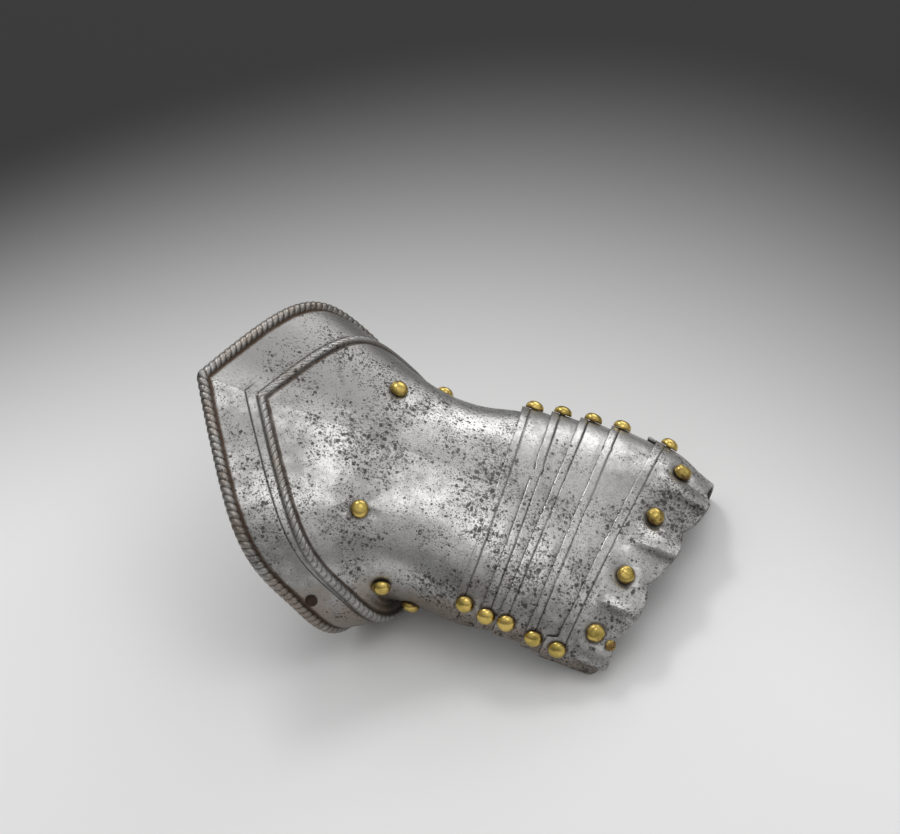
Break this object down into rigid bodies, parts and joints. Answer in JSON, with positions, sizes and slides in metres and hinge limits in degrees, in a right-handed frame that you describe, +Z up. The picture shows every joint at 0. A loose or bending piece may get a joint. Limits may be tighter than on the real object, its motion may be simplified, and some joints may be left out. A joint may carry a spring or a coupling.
{
  "type": "armoured gauntlet",
  "caption": "Right-hand steel gauntlet with a flared, pointed and roped cuff, sliding hand lames and an embossed knuckle plate, joined by domed brass rivets.",
  "frame": {"origin": "middle of the box round the gauntlet, at the surface that it lies on", "axes": "+X from the cuff's rim towards the knuckles along the surface, +Y towards the index finger's side, +Z up"},
  "size_m": [0.202, 0.1378, 0.1113],
  "materials": {
    "steel": "worn bright steel with fine dark pitting",
    "dark_steel": "corroded broken end",
    "brass": "tarnished"
  },
  "bodies": {
    "cuff": {"cuff_plate": "steel", "cuff_stub_rivet": "dark_steel", "lining_rivet_1_index": "brass", "lining_rivet_2_index": "brass", "lining_rivet_3_index": "brass", "lining_rivet_1_little": "brass", "lining_rivet_2_little": "brass", "lining_rivet_3_little": "brass"},
    "lame_1": {"metacarpal_lame_1": "steel", "pivot_rivet_1_index": "brass", "pivot_rivet_1_little": "brass"},
    "lame_2": {"metacarpal_lame_2": "steel", "pivot_rivet_2_index": "brass", "pivot_rivet_2_little": "brass"},
    "lame_3": {"metacarpal_lame_3": "steel", "pivot_rivet_3_index": "brass", "pivot_rivet_3_little": "brass"},
    "lame_4": {"metacarpal_lame_4": "steel", "pivot_rivet_4_index": "brass", "pivot_rivet_4_little": "brass"},
    "knuckles": {"knuckle_plate": "steel", "pivot_rivet_5_index": "brass", "pivot_rivet_5_little": "brass", "knuckle_rivet_1": "brass", "knuckle_rivet_2": "brass", "knuckle_rivet_3": "brass", "knuckle_rivet_4": "brass", "finger_leather_rivet": "brass"}
  },
  "joints": [
    {"name": "lame_1_pivot", "type": "hinge", "parent": "cuff", "child": "lame_1", "pos_m": [0.0203, -0.00273, 0.04162], "axis": [0.0621, 0.9887, 0.1365], "range_deg": [-2, 10]},
    {"name": "lame_2_pivot", "type": "hinge", "parent": "lame_1", "child": "lame_2", "pos_m": [0.03077, -0.00324, 0.03829], "axis": [0.0846, 0.9864, 0.1408], "range_deg": [-2, 10]},
    {"name": "lame_3_pivot", "type": "hinge", "parent": "lame_2", "child": "lame_3", "pos_m": [0.0413, -0.00305, 0.0351], "axis": [0.1171, 0.9859, 0.1193], "range_deg": [-2, 10]},
    {"name": "lame_4_pivot", "type": "hinge", "parent": "lame_3", "child": "lame_4", "pos_m": [0.0527, -0.00296, 0.02947], "axis": [0.1172, 0.9846, 0.1299], "range_deg": [-2, 10]},
    {"name": "knuckle_pivot", "type": "hinge", "parent": "lame_4", "child": "knuckles", "pos_m": [0.06716, -0.00307, 0.02228], "axis": [0.1945, 0.9779, 0.0771], "range_deg": [-2, 10]}
  ]
}
